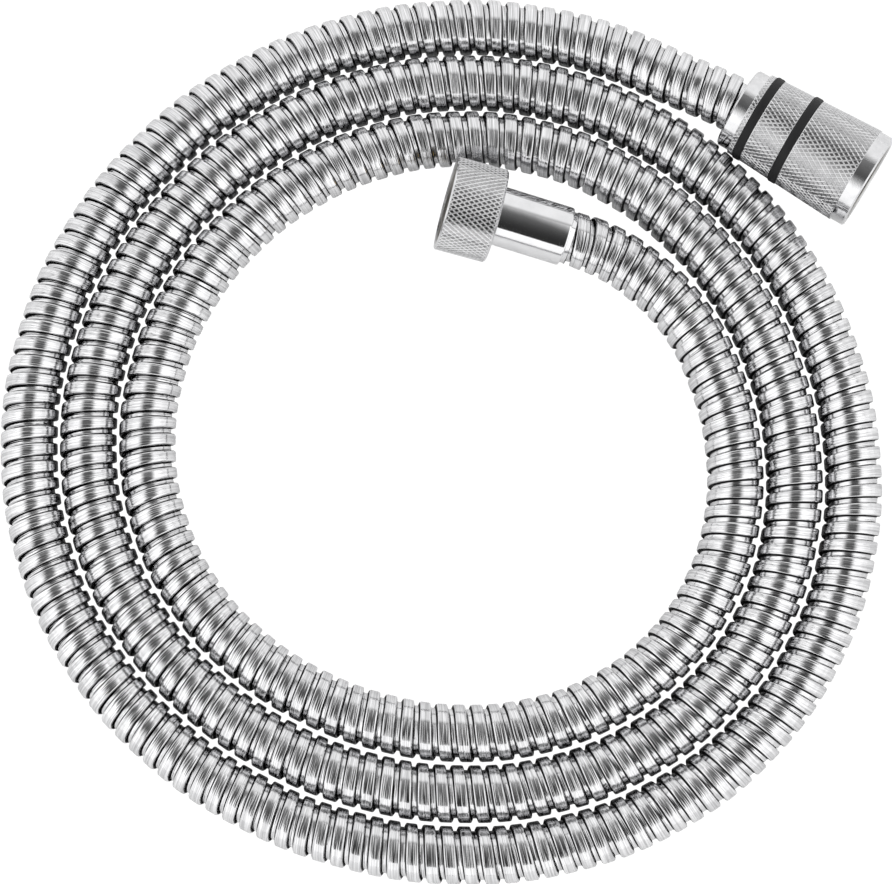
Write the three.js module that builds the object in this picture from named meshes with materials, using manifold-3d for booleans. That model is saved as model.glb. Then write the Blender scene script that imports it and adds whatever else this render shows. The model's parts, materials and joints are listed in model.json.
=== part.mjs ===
// Shower hose: a strip-wound metal hose lying in a flat coil on a table. A knurled union nut for the
// mixer swivels on its inner end, and a longer conical nut with two O-rings on its outer end.
// Millimetres and degrees, +Z up, the hose lies on z = 0.
import * as THREE from "three";
import { mergeVertices } from "three/addons/utils/BufferGeometryUtils.js";
import Module from "manifold-3d";

const wasm = await Module();
wasm.setup();

// Clearances between pieces
const clearance = 0.3; // between pieces that touch
const swivelPlay = 0.4; // along the axis, between a nut's shoulder and the insert's flange

// Hose: metal casing outside, rubber liner inside
const casingDiameter = 14.3;
const casingWall = 1.25;
const casingSides = 12;
const crimpDepth = 0.6; // what crimping takes off the casing's radius at each end
const crimpedInFerrule = 6.0;
const crimpedNeck = 1.0; // length of crimped casing that shows behind the ferrule
const linerWall = 1.2;
const linerSides = 8;

// Coil: a spiral that winds outwards clockwise, seen from above, slightly out of round
const coilCentre = { x: 2.2, y: -4.4 };
const coilStartRadius = 69.8; // at angle zero
const coilTurnGap = 0.7;
const coilFirstAngle = -30;
const coilLastAngle = 990;
const stationsPerTurn = 24;
const coilLobes = [
  { count: 2, height: 1.45, at: -28 },
  { count: 3, height: 1.0, at: -45 },
];

// Hose between the fittings and the coil, where it is not coiled. Each point lies at an angle round
// the coil's centre, some way beyond the radius of the coil's start or, for the lead out, of its end.
const leadIn = [
  { at: 53.93, beyond: -6.45, height: 8.4 },
  { at: 43.82, beyond: -4.52, height: 7.5 },
];
const leadOut = [
  { at: 79.95, beyond: 0.16, height: 7.4 },
  { at: 69.53, beyond: 0.49, height: 8.4 },
  { at: 59.76, beyond: 0.54, height: 9.9 },
];
const straightBehindFitting = 2.5;

// Fittings that both ends share: G1/2 thread, shown as a plain bore at its mean diameter
const threadBore = 19.8;
const threadChamfer = 0.7;
const ferruleWall = 0.75;
const ferruleFrontWall = 1.0;
const ferruleRimRound = 0.5;
const flangeThickness = 2.0;
const shankWall = 1.1;
const shankLength = 16.0;
const barbCount = 3;
const barbHeight = 0.45;
const washerPlay = 0.7; // round a washer, in the thread
const washerBore = 10.6;
const washerThickness = 2.2;
const roundSegments = 28;

// Knurl: diamonds whose crests stand this far above their roots
const knurlDepth = 0.45;
const knurlRow = 2.05;
const knurlSegments = 44;

// Mixer nut: it hangs a little askew on its insert and leans on the coil's inner turn. It lies inside
// the radius of the coil's start.
const mixerNut = {
  at: 80.49,
  beyond: -9.88,
  heading: 166.1,
  pitch: 7,
  length: 13.4,
  sideWall: 2.3,
  rearWall: 2.0,
  edge: 0.7,
};
const mixerHoleClearance = 0.75;
const mixerFerrule = { heading: 164.0, offset: 0.35, shownLength: 18.7 };
const mixerFlangePlay = 1.0; // round the flange, in the thread
const mixerWasherGap = 0.8; // a skewed flange needs room in front of it

// Handset nut: a slim cone that rests on the table along its side, outside the radius of the coil's end
const handsetNut = {
  at: 50.67,
  beyond: 3.11,
  heading: -32.1,
  length: 38.7,
  threadDepth: 11.7,
  rearBand: { diameter: 21.5, end: 3.55, edge: 0.5 },
  mouthBand: { diameter: 25.25, start: 34.95, edge: 0.4 },
};
const coneRadiusAtRear = 11.19;
const coneHalfAngle = 2.87;
const handsetHoleClearance = 0.35;
const handsetFerruleLength = 18.0;
const handsetFlangePlay = 1.3;
const oRingGrooves = [
  { start: 5.0, end: 7.4 },
  { start: 15.9, end: 18.4 },
];
const oRingGrooveDepth = 1.7;

// Colours and surfaces
const steel = { color: 0xc4c6c8, roughness: 0.22, metalness: 1.0 };
const chrome = { color: 0xd6d8da, roughness: 0.1, metalness: 1.0 };
const brass = { color: 0xb99a58, roughness: 0.35, metalness: 1.0 };
const rubber = { color: 0x151515, roughness: 0.7, metalness: 0.0 };
const linerPlastic = { color: 0xe4e4e0, roughness: 0.6, metalness: 0.0 };

const radians = THREE.MathUtils.degToRad;
const model = new THREE.Group();

const coilTurnSpacing = casingDiameter + coilTurnGap;
const coilEndRadius = coilStartRadius + (coilTurnSpacing * coilLastAngle) / 360;
const casingHalfBore = casingDiameter / 2 - casingWall;
const linerHalfAcross = (casingHalfBore - clearance) * Math.cos(Math.PI / linerSides);
const linerHalfBore = linerHalfAcross - linerWall;
const crimpedDiameter = casingDiameter - 2 * crimpDepth;
const ferruleBore = crimpedDiameter + 2 * clearance;
const ferruleDiameter = ferruleBore + 2 * ferruleWall;
const washerDiameter = threadBore - 2 * washerPlay;
const mixerFlangeDiameter = threadBore - 2 * mixerFlangePlay;
const handsetFlangeDiameter = threadBore - 2 * handsetFlangePlay;

function addPiece(parent, name, geometry, look) {
  const piece = new THREE.Mesh(geometry, new THREE.MeshStandardMaterial(look));
  piece.name = name;
  parent.add(piece);
  return piece;
}

// A point round the coil's centre
function aroundCoil(angle, radius, height) {
  const polar = radians(angle);
  return new THREE.Vector3(
    coilCentre.x + radius * Math.cos(polar),
    coilCentre.y + radius * Math.sin(polar),
    height,
  );
}

// A direction from its compass heading and its pitch above the table
function direction(heading, pitch) {
  const flat = Math.cos(radians(pitch));
  const east = flat * Math.cos(radians(heading));
  const north = flat * Math.sin(radians(heading));
  return new THREE.Vector3(east, north, Math.sin(radians(pitch)));
}

// A group whose own +Z runs out of the hose along a fitting's axis
function fittingFrame(origin, axis) {
  const frame = new THREE.Group();
  frame.position.copy(origin);
  frame.quaternion.setFromUnitVectors(new THREE.Vector3(0, 0, 1), axis);
  model.add(frame);
  return frame;
}

// Solids of revolution. A profile is a closed outline of { r, z } points in one half-plane, and a
// point marked as knurled carries alternate crests and roots round the piece.

function revolve(profile, segments) {
  const outline = profile.map((point) => new THREE.Vector2(point.r, point.z));
  if (THREE.ShapeUtils.area(outline) < 0) {
    outline.reverse();
    profile = [...profile].reverse();
  }
  outline.push(outline[0].clone());
  const lathe = new THREE.LatheGeometry(outline, segments);
  cutKnurl(lathe, [...profile, profile[0]], segments);
  lathe.rotateX(Math.PI / 2);
  lathe.deleteAttribute("normal");
  lathe.deleteAttribute("uv");
  return mergeVertices(lathe, 1e-4);
}

function cutKnurl(lathe, profile, segments) {
  const position = lathe.attributes.position;
  const faces = [];
  for (let segment = 0; segment <= segments; segment++) {
    for (let row = 0; row < profile.length; row++) {
      const corner = row + segment * profile.length;
      if (profile[row].knurled && (segment + row) % 2 === 1) {
        const factor = 1 - knurlDepth / profile[row].r;
        position.setX(corner, position.getX(corner) * factor);
        position.setZ(corner, position.getZ(corner) * factor);
      }
      if (segment === segments || row === profile.length - 1) continue;
      const next = corner + profile.length;
      // Each quad folds along the line between its two roots, so that every crest is a point
      if ((segment + row) % 2 === 0) {
        faces.push(corner, next, corner + 1, next + 1, corner + 1, next);
      } else {
        faces.push(corner, next, next + 1, corner, next + 1, corner + 1);
      }
    }
  }
  lathe.setIndex(faces);
}

// The outside of a knurled band, from one end to the other, at the radius that a function gives
function knurledBand(start, end, radiusAt) {
  const rows = Math.max(2, Math.round((end - start) / knurlRow));
  const points = [{ r: radiusAt(start) - knurlDepth, z: start }];
  for (let row = 1; row < rows; row++) {
    const z = start + ((end - start) * row) / rows;
    points.push({ r: radiusAt(z), z, knurled: true });
  }
  points.push({ r: radiusAt(end) - knurlDepth, z: end });
  return points;
}

// The threaded mouth, from the rim down to the shoulder, and the hole through the shoulder
function threadedBore(length, shoulder, holeRadius) {
  return [
    { r: threadBore / 2 + threadChamfer, z: length },
    { r: threadBore / 2, z: length - threadChamfer },
    { r: threadBore / 2, z: shoulder },
    { r: holeRadius, z: shoulder },
    { r: holeRadius, z: 0 },
  ];
}

// Mixer nut

const mixerNutRadius = threadBore / 2 + mixerNut.sideWall;
const mixerNutAxis = direction(mixerNut.heading, mixerNut.pitch);
const mixerNutRear = aroundCoil(
  mixerNut.at,
  coilStartRadius + mixerNut.beyond,
  mixerNutRadius * Math.cos(radians(mixerNut.pitch)),
);

function mixerNutProfile() {
  const edgeRadius = mixerNutRadius - mixerNut.edge;
  const holeRadius = ferruleDiameter / 2 + mixerHoleClearance;
  return [
    { r: edgeRadius, z: 0 },
    ...knurledBand(mixerNut.edge, mixerNut.length - mixerNut.edge, () => mixerNutRadius),
    { r: edgeRadius, z: mixerNut.length },
    ...threadedBore(mixerNut.length, mixerNut.rearWall, holeRadius),
  ];
}

const mixerNutFrame = fittingFrame(mixerNutRear, mixerNutAxis);
addPiece(mixerNutFrame, "mixer_union_nut", revolve(mixerNutProfile(), knurlSegments), chrome);

// Handset nut

const handsetAxis = direction(handsetNut.heading, coneHalfAngle);
const handsetNutRear = aroundCoil(
  handsetNut.at,
  coilEndRadius + handsetNut.beyond,
  coneRadiusAtRear * Math.cos(radians(coneHalfAngle)),
);
const handsetHoleRadius = ferruleDiameter / 2 + handsetHoleClearance;
const handsetShoulder = handsetNut.length - handsetNut.threadDepth;

function coneRadius(z) {
  return coneRadiusAtRear + z * Math.tan(radians(coneHalfAngle));
}

function grooveFloor(groove) {
  return coneRadius(groove.start) - oRingGrooveDepth;
}

function handsetNutProfile() {
  const { length, rearBand, mouthBand } = handsetNut;
  const rear = rearBand.diameter / 2;
  const mouth = mouthBand.diameter / 2;
  const outside = [
    { r: rear - rearBand.edge, z: 0 },
    { r: rear, z: rearBand.edge },
    { r: rear, z: rearBand.end },
  ];
  let bandStart = rearBand.end;
  for (const groove of oRingGrooves) {
    outside.push(...knurledBand(bandStart, groove.start, coneRadius));
    outside.push({ r: grooveFloor(groove), z: groove.start });
    outside.push({ r: grooveFloor(groove), z: groove.end });
    bandStart = groove.end;
  }
  outside.push(...knurledBand(bandStart, mouthBand.start, coneRadius));
  outside.push({ r: mouth, z: mouthBand.start });
  outside.push({ r: mouth, z: length - mouthBand.edge });
  outside.push({ r: mouth - mouthBand.edge, z: length });
  return [...outside, ...threadedBore(length, handsetShoulder, handsetHoleRadius)];
}

const handsetNutFrame = fittingFrame(handsetNutRear, handsetAxis);
addPiece(handsetNutFrame, "handset_cone_nut", revolve(handsetNutProfile(), knurlSegments), chrome);

// O-rings, seated in their grooves and level with the crests of the knurl

function oRingProfile(groove) {
  const middle = (groove.start + groove.end) / 2;
  const halfWidth = (groove.end - groove.start) / 2 - clearance;
  const outer = coneRadius(middle);
  const inner = grooveFloor(groove) + clearance;
  const sectionPoints = 6;
  const points = [];
  for (let i = 0; i < sectionPoints; i++) {
    const turn = ((i + 0.5) / sectionPoints) * Math.PI * 2;
    const reach = 1 / Math.cos(Math.PI / sectionPoints);
    points.push({
      r: (outer + inner) / 2 + ((outer - inner) / 2) * reach * Math.cos(turn),
      z: middle + halfWidth * reach * Math.sin(turn),
    });
  }
  return points;
}

const oRingNames = ["handset_o_ring_rear", "handset_o_ring_front"];
oRingGrooves.forEach((groove, i) => {
  addPiece(handsetNutFrame, oRingNames[i], revolve(oRingProfile(groove), roundSegments), rubber);
});

// Ferrule and insert. In their frame z = 0 is the ferrule's rim, where the hose goes in, and the
// insert's flange stands in front of the ferrule.

const shankRadius = linerHalfBore - clearance;

function ferruleProfile(length) {
  const outer = ferruleDiameter / 2;
  const inner = ferruleBore / 2;
  return [
    { r: inner, z: 0 },
    { r: outer - ferruleRimRound, z: 0 },
    { r: outer - ferruleRimRound * 0.3, z: ferruleRimRound * 0.3 },
    { r: outer, z: ferruleRimRound },
    { r: outer, z: length },
    { r: shankRadius + clearance, z: length },
    { r: shankRadius + clearance, z: length - ferruleFrontWall },
    { r: inner, z: length - ferruleFrontWall },
  ];
}

function insertProfile(ferruleLength, flangeDiameter) {
  const flangeBack = ferruleLength + clearance;
  const flangeFront = flangeBack + flangeThickness;
  const tip = flangeBack - shankLength;
  const barbPitch = (shankLength - ferruleFrontWall) / (barbCount + 1);
  const neck = shankRadius - barbHeight;
  const profile = [
    { r: shankRadius - shankWall, z: flangeFront },
    { r: shankRadius - shankWall, z: tip },
    { r: neck, z: tip },
  ];
  for (let i = 0; i < barbCount; i++) {
    const crest = tip + (i + 0.8) * barbPitch;
    profile.push({ r: shankRadius, z: crest });
    profile.push({ r: neck, z: crest });
  }
  profile.push({ r: neck, z: flangeBack - ferruleFrontWall - clearance });
  profile.push({ r: shankRadius, z: flangeBack - ferruleFrontWall - clearance });
  profile.push({ r: shankRadius, z: flangeBack });
  profile.push({ r: flangeDiameter / 2, z: flangeBack });
  profile.push({ r: flangeDiameter / 2, z: flangeFront });
  return profile;
}

function addEndFitting(name, frame, ferruleLength, flangeDiameter) {
  const ferrule = revolve(ferruleProfile(ferruleLength), roundSegments);
  addPiece(frame, `${name}_ferrule`, ferrule, chrome);
  const insert = revolve(insertProfile(ferruleLength, flangeDiameter), roundSegments);
  addPiece(frame, `${name}_insert`, insert, brass);
}

function washerProfile(back) {
  return [
    { r: washerBore / 2, z: back },
    { r: washerDiameter / 2, z: back },
    { r: washerDiameter / 2, z: back + washerThickness },
    { r: washerBore / 2, z: back + washerThickness },
  ];
}

// Mixer end: the flange lies just in front of the nut's rear wall
const mixerAxis = direction(mixerFerrule.heading, mixerNut.pitch);
const mixerSide = new THREE.Vector3(0, 0, 1).cross(mixerAxis).normalize().negate();
const mixerFerruleLength = mixerFerrule.shownLength + mixerNut.rearWall + swivelPlay - clearance;
const mixerRim = mixerNutRear
  .clone()
  .addScaledVector(mixerSide, mixerFerrule.offset)
  .addScaledVector(mixerAxis, -mixerFerrule.shownLength);
const mixerFrame = fittingFrame(mixerRim, mixerAxis);
addEndFitting("mixer", mixerFrame, mixerFerruleLength, mixerFlangeDiameter);
const mixerFlangeFront = mixerNut.rearWall + swivelPlay + flangeThickness;
const mixerWasher = revolve(washerProfile(mixerFlangeFront + mixerWasherGap), roundSegments);
addPiece(mixerNutFrame, "mixer_seal_washer", mixerWasher, rubber);

// Handset end: the flange lies just in front of the nut's shoulder, coaxial with the nut
const handsetRimInNut = handsetShoulder + swivelPlay - clearance - handsetFerruleLength;
const handsetRim = handsetNutRear.clone().addScaledVector(handsetAxis, handsetRimInNut);
const handsetFrame = fittingFrame(handsetRim, handsetAxis);
addEndFitting("handset", handsetFrame, handsetFerruleLength, handsetFlangeDiameter);
const handsetFlangeFront = handsetShoulder + swivelPlay + flangeThickness;
const handsetWasher = revolve(washerProfile(handsetFlangeFront + clearance), roundSegments);
addPiece(handsetNutFrame, "handset_seal_washer", handsetWasher, rubber);

// Hose

// A smooth curve whose stations are its own points, so that neighbouring turns of the coil have
// their stations on the same radii
class HoseRoute extends THREE.CatmullRomCurve3 {
  getPointAt(u, target) {
    return this.getPoint(u, target);
  }
  getTangentAt(u, target) {
    return this.getTangent(u, target);
  }
}

const layingHeight = casingDiameter / 2;

function coilPoint(angle) {
  let radius = coilStartRadius + (coilTurnSpacing * angle) / 360;
  for (const lobe of coilLobes) {
    radius += lobe.height * Math.cos(lobe.count * radians(-angle - lobe.at));
  }
  return aroundCoil(-angle, radius, layingHeight);
}

function onAxis(rim, axis, z) {
  return rim.clone().addScaledVector(axis, z);
}

// The stations run from the mixer end to the handset end. Each end is a height above its rim.
function hoseStations(mixerEnd, handsetEnd) {
  const stations = [
    onAxis(mixerRim, mixerAxis, mixerEnd),
    onAxis(mixerRim, mixerAxis, 0),
    onAxis(mixerRim, mixerAxis, -straightBehindFitting),
  ];
  for (const point of leadIn) {
    stations.push(aroundCoil(point.at, coilStartRadius + point.beyond, point.height));
  }
  for (let angle = coilFirstAngle; angle <= coilLastAngle; angle += 360 / stationsPerTurn) {
    stations.push(coilPoint(angle));
  }
  for (const point of leadOut) {
    stations.push(aroundCoil(point.at, coilEndRadius + point.beyond, point.height));
  }
  stations.push(onAxis(handsetRim, handsetAxis, -handsetRimInNut - straightBehindFitting));
  stations.push(onAxis(handsetRim, handsetAxis, 0));
  stations.push(onAxis(handsetRim, handsetAxis, handsetEnd));
  return stations;
}

// A regular outline with a flat at the bottom, measured across its flats
function flatSidedOutline(Outline, halfAcross, sides) {
  const outline = new Outline();
  const cornerRadius = halfAcross / Math.cos(Math.PI / sides);
  for (let i = 0; i < sides; i++) {
    const turn = ((i + 0.5) / sides) * Math.PI * 2;
    const x = cornerRadius * Math.cos(turn);
    const y = cornerRadius * Math.sin(turn);
    if (i === 0) outline.moveTo(x, y);
    else outline.lineTo(x, y);
  }
  outline.closePath();
  return outline;
}

function tube(stations, halfAcross, halfBore, sides) {
  const section = flatSidedOutline(THREE.Shape, halfAcross, sides);
  section.holes.push(flatSidedOutline(THREE.Path, halfBore, sides));
  const geometry = new THREE.ExtrudeGeometry(section, {
    steps: stations.length - 1,
    extrudePath: new HoseRoute(stations, false, "centripetal"),
  });
  geometry.deleteAttribute("normal");
  geometry.deleteAttribute("uv");
  return mergeVertices(geometry, 1e-4);
}

function solid(geometry) {
  const vertProperties = new Float32Array(geometry.attributes.position.array);
  const triVerts = new Uint32Array(geometry.index.array);
  return new wasm.Manifold(new wasm.Mesh({ numProp: 3, vertProperties, triVerts }));
}

function geometryOf(body) {
  const mesh = body.getMesh();
  const geometry = new THREE.BufferGeometry();
  geometry.setAttribute("position", new THREE.BufferAttribute(mesh.vertProperties, 3));
  geometry.setIndex(new THREE.BufferAttribute(mesh.triVerts, 1));
  return geometry;
}

// The sleeve of metal that crimping takes off one end of the casing. It reaches just past the
// casing's corners, so that it leaves the next turn of the coil alone.
function crimpCut(frame) {
  const past = 1.0;
  const casingCorner = casingDiameter / 2 / Math.cos(Math.PI / casingSides);
  const ring = [
    { r: crimpedDiameter / 2, z: -crimpedNeck },
    { r: casingCorner + past, z: -crimpedNeck },
    { r: casingCorner + past, z: crimpedInFerrule + past },
    { r: crimpedDiameter / 2, z: crimpedInFerrule + past },
  ];
  const cutter = revolve(ring, roundSegments);
  frame.updateMatrixWorld(true);
  cutter.applyMatrix4(frame.matrixWorld);
  return solid(cutter);
}

const casingStations = hoseStations(crimpedInFerrule, crimpedInFerrule);
const plainCasing = tube(casingStations, casingDiameter / 2, casingHalfBore, casingSides);
const casing = solid(plainCasing).subtract(crimpCut(mixerFrame)).subtract(crimpCut(handsetFrame));
addPiece(model, "hose_casing", geometryOf(casing), steel);

const linerEnd = -ferruleFrontWall - clearance;
const linerStations = hoseStations(mixerFerruleLength + linerEnd, handsetFerruleLength + linerEnd);
const liner = tube(linerStations, linerHalfAcross, linerHalfBore, linerSides);
addPiece(model, "hose_liner", liner, linerPlastic);

export default model;
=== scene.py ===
# %% [markdown]
# # A metal shower hose, dressed for a picture
#
# The hose lies in a flat coil of nearly three turns. A union nut for the mixer turns on its inner
# end and a long conical nut for the handset on its outer end. The construction is already there as
# plain solids, at their real size and place. This script gives each of them the surface that the
# real one has: strip wound round and round, knurling, threads, chrome and rubber.
#
# Everything is in metres, and the hose lies on z = 0.

import json
import math

import bmesh
import bpy
from mathutils import Matrix, Vector


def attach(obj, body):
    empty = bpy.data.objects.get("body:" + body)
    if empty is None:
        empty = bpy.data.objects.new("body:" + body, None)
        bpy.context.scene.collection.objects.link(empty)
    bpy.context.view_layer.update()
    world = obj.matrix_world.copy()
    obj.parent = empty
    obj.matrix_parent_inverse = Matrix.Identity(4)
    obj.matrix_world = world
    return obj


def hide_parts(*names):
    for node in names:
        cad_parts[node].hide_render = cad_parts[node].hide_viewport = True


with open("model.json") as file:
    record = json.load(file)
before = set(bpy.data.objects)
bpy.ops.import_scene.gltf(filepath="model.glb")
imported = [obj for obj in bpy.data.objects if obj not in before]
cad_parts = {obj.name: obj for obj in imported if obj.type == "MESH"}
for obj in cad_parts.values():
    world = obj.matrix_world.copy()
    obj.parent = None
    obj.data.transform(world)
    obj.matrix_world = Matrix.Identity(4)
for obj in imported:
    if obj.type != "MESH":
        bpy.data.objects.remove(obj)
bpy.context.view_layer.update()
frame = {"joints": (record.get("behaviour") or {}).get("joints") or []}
MM = 0.001

# %% [markdown]
# ## Camera
#
# The picture looks down on the coil, tipped a few degrees towards the near edge. A long lens keeps
# the tubes from leaning outwards at the edges of the picture. The camera comes first, because the
# hose's length is checked against what it sees.

# %% Camera
HOSE_DIAMETER = 14.3 * MM
LAYING_HEIGHT = HOSE_DIAMETER / 2
CAMERA_DISTANCE = 620 * MM
CAMERA_TIP = math.radians(9)
PICTURE_WIDTH = 226.6 * MM  # what the picture spans at the height of the hose's centre line
LOOK_AT = Vector((-0.8 * MM, -2.9 * MM, LAYING_HEIGHT))

camera_data = bpy.data.cameras.new("Camera")
camera_data.lens = camera_data.sensor_width * CAMERA_DISTANCE / PICTURE_WIDTH
camera_data.clip_start = 10 * MM
camera = bpy.data.objects.new("Camera", camera_data)
bpy.context.collection.objects.link(camera)
towards_camera = Vector((0, -math.sin(CAMERA_TIP), math.cos(CAMERA_TIP)))
camera.location = LOOK_AT + CAMERA_DISTANCE * towards_camera
camera.rotation_euler = (CAMERA_TIP, 0, 0)
bpy.context.scene.camera = camera
print(f"camera: {camera_data.lens:.1f} mm lens, {camera.location.z * 1000:.0f} mm up")

# %% [markdown]
# ## Working by hand, in code
#
# Most operators act on what is selected, so each piece starts with nothing selected. A few small
# helpers keep that tidy. They clear the selection, switch to edit mode, select faces by their place,
# apply modifiers and shade a piece smooth up to an angle. The construction's own pieces are still
# selected at this point, so the first thing is to let go of them.

# %% Selection and modes


def start_clean():
    """Object mode, with nothing selected."""
    if bpy.context.object and bpy.context.object.mode != "OBJECT":
        bpy.ops.object.mode_set(mode="OBJECT")
    bpy.ops.object.select_all(action="DESELECT")


def pick(piece):
    """Object mode, with this piece alone selected and active."""
    start_clean()
    piece.select_set(True)
    bpy.context.view_layer.objects.active = piece


def edit(piece, mode):
    """Edit mode on one piece, with nothing in it selected."""
    pick(piece)
    bpy.ops.object.mode_set(mode="EDIT")
    bpy.ops.mesh.select_mode(type=mode)
    bpy.ops.mesh.select_all(action="DESELECT")


def select_faces(piece, wanted):
    """In edit mode, selects the faces for which wanted(face) is true."""
    mesh = bmesh.from_edit_mesh(piece.data)
    for face in mesh.faces:
        face.select_set(wanted(face))
    mesh.select_flush_mode()
    bmesh.update_edit_mesh(piece.data)


def apply_modifiers(piece):
    pick(piece)
    for modifier in list(piece.modifiers):
        bpy.ops.object.modifier_apply(modifier=modifier.name)


def smooth(piece, angle):
    """Shades a piece smooth, except where faces meet more sharply than the angle in degrees."""
    pick(piece)
    bpy.ops.object.shade_smooth_by_angle(angle=math.radians(angle))


def place(piece, matrix):
    """Moves a piece from its own frame to its place, and puts that place into its mesh."""
    pick(piece)
    piece.matrix_world = matrix
    bpy.ops.object.transform_apply(location=True, rotation=True, scale=True)


start_clean()
print("selected pieces:", len(bpy.context.selected_objects))

# %% [markdown]
# ## The hose's route
#
# The hose starts in the mixer's ferrule and ends in the conical nut. The construction has a hinge
# in each nut, on the nut's rear face and along its axis, so those two give the places of both ends.
# The mixer's ferrule points a little away from its nut, because the nut hangs loose on it.

# %% Ends of the hose
FERRULE_HEADING = math.radians(164.0)
FERRULE_PITCH = math.radians(7)
FERRULE_OFFSET = 0.35 * MM  # the nut hangs off the ferrule's axis by its play
FERRULE_SHOWN = 18.7 * MM
HANDSET_RIM_IN_NUT = 9.1 * MM

joints = {joint["name"]: joint for joint in frame["joints"]}


def nut_place(joint_name):
    """A nut's rear face and the direction that it points in, from its joint."""
    joint = joints[joint_name]
    return Vector(joint["pos_m"]), Vector(joint["axis"]).normalized()


mixer_rear, mixer_nut_axis = nut_place("mixer_nut_spin")
handset_rear, handset_axis = nut_place("handset_nut_spin")

ferrule_flat = Vector((math.cos(FERRULE_HEADING), math.sin(FERRULE_HEADING), 0))
ferrule_axis = ferrule_flat * math.cos(FERRULE_PITCH) + Vector((0, 0, math.sin(FERRULE_PITCH)))
ferrule_side = ferrule_axis.cross(Vector((0, 0, 1))).normalized()
mixer_rim = mixer_rear + ferrule_side * FERRULE_OFFSET - ferrule_axis * FERRULE_SHOWN
handset_rim = handset_rear + handset_axis * HANDSET_RIM_IN_NUT
print("mixer's rim, in millimetres:", [round(x / MM, 1) for x in mixer_rim])
print("handset's rim, in millimetres:", [round(x / MM, 1) for x in handset_rim])

# %% [markdown]
# Between its ends the hose curls into the coil and out of it again. Those short leads are listed
# points. The coil is a spiral, so a loop works it out: each turn lies one spacing outside the one
# before, and two gentle waves make it as slightly out of round as a real coil is.

# %% Stations along the hose
COIL_CENTRE_X = 2.2  # in millimetres, as all the sizes of the coil
COIL_CENTRE_Y = -4.4
COIL_START_RADIUS = 69.8
COIL_TURN_SPACING = 15.0
COIL_FIRST_ANGLE = -30
COIL_LAST_ANGLE = 990
COIL_STEP = 15
COIL_END_RADIUS = COIL_START_RADIUS + COIL_TURN_SPACING * COIL_LAST_ANGLE / 360
COIL_WAVES = [(2, 1.45, -28), (3, 1.0, -45)]  # how many round the coil, their height, and where
# each point is an angle, how far it lies beyond the coil's start or end radius, and its height
LEAD_IN = [(53.93, -6.45, 8.4), (43.82, -4.52, 7.5)]
LEAD_OUT = [(79.95, 0.16, 7.4), (69.53, 0.49, 8.4), (59.76, 0.54, 9.9)]
STRAIGHT_BEHIND_FITTING = 2.5 * MM


def around_coil(angle, radius, height):
    """A point round the coil's centre, from sizes in millimetres."""
    x = COIL_CENTRE_X + radius * math.cos(math.radians(angle))
    y = COIL_CENTRE_Y + radius * math.sin(math.radians(angle))
    return Vector((x, y, height)) * MM


def coil_point(angle):
    radius = COIL_START_RADIUS + COIL_TURN_SPACING * angle / 360
    for count, height, at in COIL_WAVES:
        radius += height * math.cos(count * math.radians(-angle - at))
    return around_coil(-angle, radius, LAYING_HEIGHT / MM)


stations = [mixer_rim, mixer_rim - ferrule_axis * STRAIGHT_BEHIND_FITTING]
stations += [around_coil(at, COIL_START_RADIUS + beyond, z) for at, beyond, z in LEAD_IN]
stations += [coil_point(a) for a in range(COIL_FIRST_ANGLE, COIL_LAST_ANGLE + 1, COIL_STEP)]
stations += [around_coil(at, COIL_END_RADIUS + beyond, z) for at, beyond, z in LEAD_OUT]
stations += [handset_rear - handset_axis * STRAIGHT_BEHIND_FITTING, handset_rim]
print("stations:", len(stations))

# %% [markdown]
# A Bezier curve with automatic handles runs smoothly through all of these stations. It could also be
# a NURBS curve, but that only passes near its points. A mesh copy of the curve gives its length.

# %% Route
start_clean()
bpy.ops.curve.primitive_bezier_curve_add(location=(0, 0, 0))
route = bpy.context.object
route.name = "route"
spline = route.data.splines[0]
spline.bezier_points.add(len(stations) - len(spline.bezier_points))
for point, station in zip(spline.bezier_points, stations):
    point.co = station
    point.handle_left_type = point.handle_right_type = "AUTO"
route.data.resolution_u = 12
route.data.twist_mode = "Z_UP"

route_mesh = route.to_mesh()
route_points = [vertex.co.copy() for vertex in route_mesh.vertices]
route.to_mesh_clear()
route_length = sum((b - a).length for a, b in zip(route_points, route_points[1:]))
print(f"route: {route_length:.3f} m long")

# %% [markdown]
# ## The wound strip
#
# The casing is one long steel strip, folded into a channel and wound like a spring, each winding
# hooked into the one before. From outside one sees a wide raised crown and beside it a narrow lower
# band that slips under the next crown, so that the hose can bend.
#
# A Screw modifier winds a small outline into a straight hose, and a Curve modifier then lays that
# hose along the route. Both outlines are drawn point by point, by extruding a vertex. Crown and
# band are wound as two pieces, which keeps each of them light.

# %% Outlines drawn by extruding a vertex


def draw_outline(name, points):
    """A closed outline in the XZ plane, drawn from (x, z) points."""
    start_clean()
    bpy.ops.mesh.primitive_plane_add(size=MM, location=(0, 0, 0))
    piece = bpy.context.object
    piece.name = piece.data.name = name
    bpy.ops.object.mode_set(mode="EDIT")
    bpy.ops.mesh.select_mode(type="VERT")
    bpy.ops.mesh.select_all(action="SELECT")
    bpy.ops.mesh.merge(type="CENTER")
    first = Vector((points[0][0], 0, points[0][1]))
    bpy.ops.transform.translate(value=first)
    for (x0, z0), (x1, z1) in zip(points, points[1:]):
        step = {"value": (x1 - x0, 0, z1 - z0)}
        bpy.ops.mesh.extrude_vertices_move(TRANSFORM_OT_translate=step)
    mesh = bmesh.from_edit_mesh(piece.data)
    ends = [vertex for vertex in mesh.verts if len(vertex.link_edges) == 1]
    bpy.ops.mesh.select_all(action="DESELECT")
    for vertex in ends:
        vertex.select_set(True)
    bmesh.update_edit_mesh(piece.data)
    bpy.ops.mesh.edge_face_add()
    bpy.ops.object.mode_set(mode="OBJECT")
    return piece


PITCH = 4.6  # from turn to turn of the strip, in millimetres as the outlines below
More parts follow.
